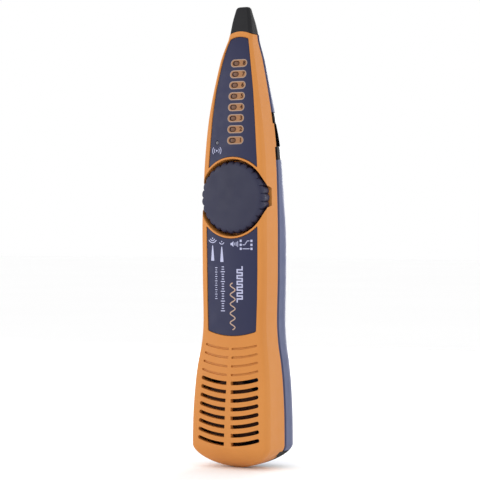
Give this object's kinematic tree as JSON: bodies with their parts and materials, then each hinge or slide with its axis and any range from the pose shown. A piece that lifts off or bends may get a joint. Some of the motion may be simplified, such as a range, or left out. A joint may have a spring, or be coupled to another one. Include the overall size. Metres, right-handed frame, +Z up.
{
  "type": "tone probe",
  "caption": "Slim upright hand-held cable tone probe: two-shell case, black tip, strength display, serrated thumb dial, speaker grille and rear battery door.",
  "frame": {"origin": "centre of the bounding box of the whole probe, at the lowest point of its rounded base", "axes": "+Z up along the probe towards its tip; the display side faces -Y; +X is to the right seen from the display side"},
  "size_m": [0.0478, 0.0358, 0.247],
  "materials": {
    "orange_shell": "satin moulded",
    "slate_shell": "soft-touch, fine texture",
    "label_film": "semi-gloss printed",
    "black_plastic": "fine texture",
    "gloss_black": "gloss",
    "black_rubber": "matte",
    "knob_plastic": "satin",
    "smoke_window": "clear brown, gloss",
    "white_plastic": "satin",
    "circuit_board": "lacquered",
    "brass": "bright",
    "steel": "bright zinc plate",
    "cone_paper": "matte paper",
    "foam": "open foam",
    "battery_can": "printed jacket",
    "red_wire": "smooth"
  },
  "bodies": {
    "housing": {"front_shell": "orange_shell", "rear_shell": "slate_shell", "upper_label": "label_film", "lower_label": "label_film", "pickup_pin": "brass", "pin_holder": "white_plastic", "tip_contact": "brass", "main_board": "circuit_board", "processor_chip": "gloss_black", "light_guide": "smoke_window", "sync_led": "smoke_window", "switch_body": "gloss_black", "detent_ball": "steel", "detent_spring": "steel", "grille_cloth": "foam", "speaker_gasket": "foam", "speaker_frame": "steel", "speaker_cone": "cone_paper", "speaker_magnet": "steel", "battery": "battery_can", "battery_snap": "black_plastic", "battery_lead_red": "red_wire", "battery_lead_black": "black_plastic", "jack_bezel": "gloss_black", "modular_jack": "black_plastic", "jack_shield": "steel", "jack_contacts": "brass", "phone_jack": "gloss_black", "led_1": "white_plastic", "led_2": "white_plastic", "led_3": "white_plastic", "led_4": "white_plastic", "led_5": "white_plastic", "led_6": "white_plastic", "led_7": "white_plastic", "led_8": "white_plastic", "case_screw_1": "steel", "case_screw_2": "steel", "case_screw_3": "steel", "case_screw_4": "steel", "board_screw_1": "steel", "board_screw_2": "steel"},
    "knob": {"rotary_knob": "knob_plastic", "switch_rotor": "white_plastic", "knob_screw": "steel"},
    "tip": {"probe_tip": "black_plastic"},
    "door": {"battery_door": "slate_shell", "battery_pad": "foam"},
    "cover": {"dust_cover": "black_rubber"}
  },
  "joints": [
    {"name": "knob_turn", "type": "hinge", "parent": "housing", "child": "knob", "pos_m": [0, -0.009, 0.1444], "axis": [0, -1, 0], "range_deg": [0, 72]},
    {"name": "tip_pull", "type": "slide", "parent": "housing", "child": "tip", "axis": [0, 0, 1], "range_m": [0, 0.013]},
    {"name": "battery_door_tilt", "type": "hinge", "parent": "housing", "child": "door", "pos_m": [0, 0.01785, 0.018], "axis": [-1, 0, 0], "range_deg": [0, 90]},
    {"name": "dust_cover_flip", "type": "hinge", "parent": "housing", "child": "cover", "pos_m": [0.0225, 0.0075, 0.00885], "axis": [0, -1, 0], "range_deg": [0, 110]}
  ]
}
